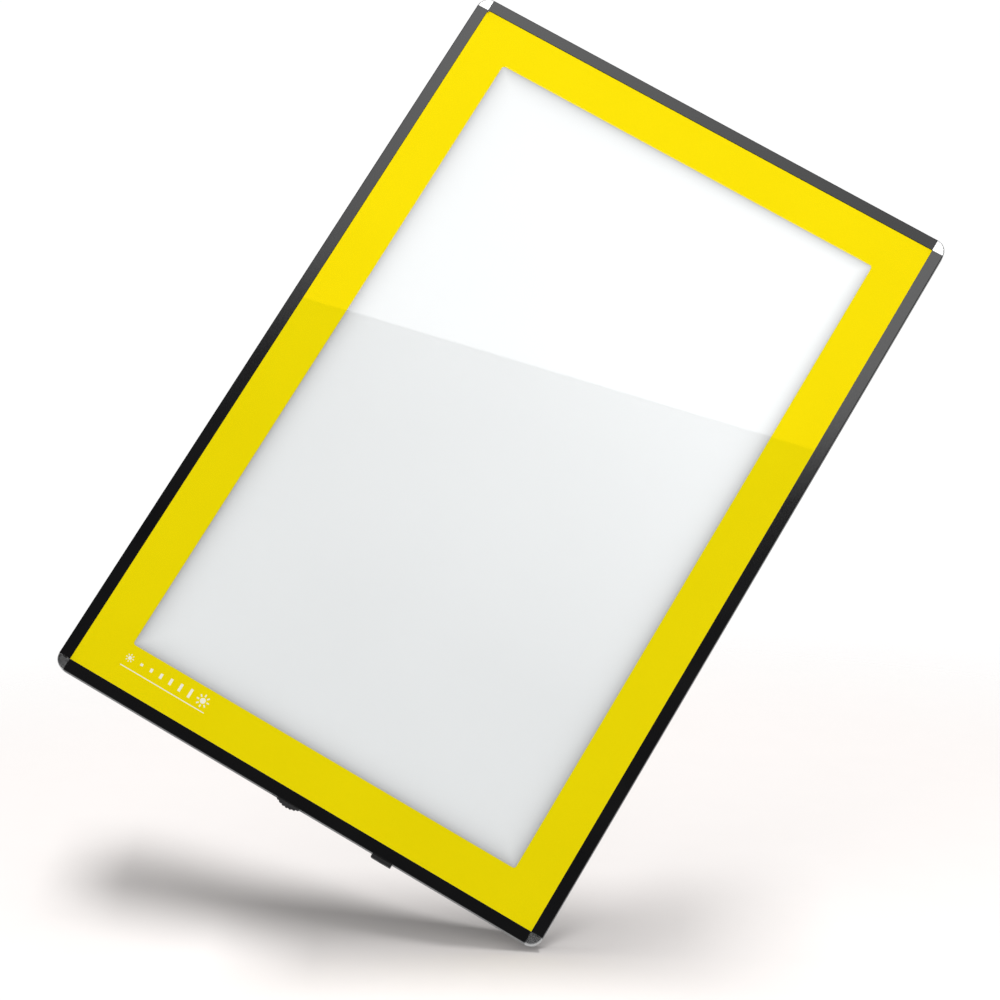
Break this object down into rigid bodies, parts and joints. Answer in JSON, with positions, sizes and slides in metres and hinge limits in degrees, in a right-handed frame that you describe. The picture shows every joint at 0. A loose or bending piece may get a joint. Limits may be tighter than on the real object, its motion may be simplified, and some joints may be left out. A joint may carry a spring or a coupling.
{
  "type": "light table",
  "caption": "Slim edge-lit light panel: glossy cover with a printed border around an opal window, aluminium edge rails, clear corner blocks, dimmer wheel and power socket.",
  "frame": {"origin": "middle of the footprint on the table the feet rest on", "axes": "+Z out of the lit face, +Y along the long sides towards the rear, -Y towards the short side with the dimmer wheel and power socket"},
  "size_m": [0.3524, 0.5332, 0.0115],
  "materials": {
    "anodised_black": "satin black anodised",
    "clear_plastic": "clear polished",
    "clear_cover": "clear polished",
    "yellow_ink": "flat printed ink",
    "opal_plastic": "opal, fine matt",
    "white_plastic": "matt",
    "black_plastic": "fine texture",
    "foam": "open cell",
    "led_board": "solder mask",
    "circuit_board": "solder mask",
    "chip_black": "moulded",
    "chip_tan": "moulded",
    "steel": "zinc plated",
    "contact_brass": "sprung, bright",
    "wire_red": "pvc insulation",
    "wire_black": "pvc insulation",
    "foot_rubber": "matt"
  },
  "bodies": {
    "panel": {"rail_front": "anodised_black", "rail_rear": "anodised_black", "rail_left": "anodised_black", "rail_right": "anodised_black", "corner_front_left": "clear_plastic", "corner_front_right": "clear_plastic", "corner_rear_right": "clear_plastic", "corner_rear_left": "clear_plastic", "screw_front_left_a": "steel", "screw_front_left_b": "steel", "screw_front_right_a": "steel", "screw_front_right_b": "steel", "screw_rear_right_a": "steel", "screw_rear_right_b": "steel", "screw_rear_left_a": "steel", "screw_rear_left_b": "steel", "cover_sheet": "clear_cover", "border_print": "yellow_ink", "diffuser_sheet": "opal_plastic", "light_guide": "clear_plastic", "reflector_sheet": "white_plastic", "back_panel": "black_plastic", "guide_stop_bar": "white_plastic", "rear_foam_strip": "foam", "led_strip_left": "led_board", "led_strip_right": "led_board", "dimmer_base": "black_plastic", "board_tape": "foam", "dimmer_board": "circuit_board", "board_inductor": "chip_black", "board_driver_chip": "chip_black", "board_capacitor": "chip_tan", "board_led_connector": "white_plastic", "socket_body": "black_plastic", "socket_bezel": "black_plastic", "socket_pin": "steel", "socket_contact": "contact_brass", "wire_supply_positive": "wire_red", "wire_supply_negative": "wire_black", "wire_left_positive": "wire_red", "wire_left_negative": "wire_black", "wire_right_positive": "wire_red", "wire_right_negative": "wire_black", "foot_front_left": "foot_rubber", "foot_front_right": "foot_rubber", "foot_rear_right": "foot_rubber", "foot_rear_left": "foot_rubber"},
    "dimmer": {"dimmer_wheel": "black_plastic", "dimmer_wiper": "contact_brass", "dimmer_pivot_screw": "steel"}
  },
  "joints": [
    {"name": "dimmer_turn", "type": "hinge", "parent": "panel", "child": "dimmer", "pos_m": [-0.0022, -0.2531, 0.0071], "axis": [0, 0, 1], "range_deg": [-150, 150]}
  ]
}
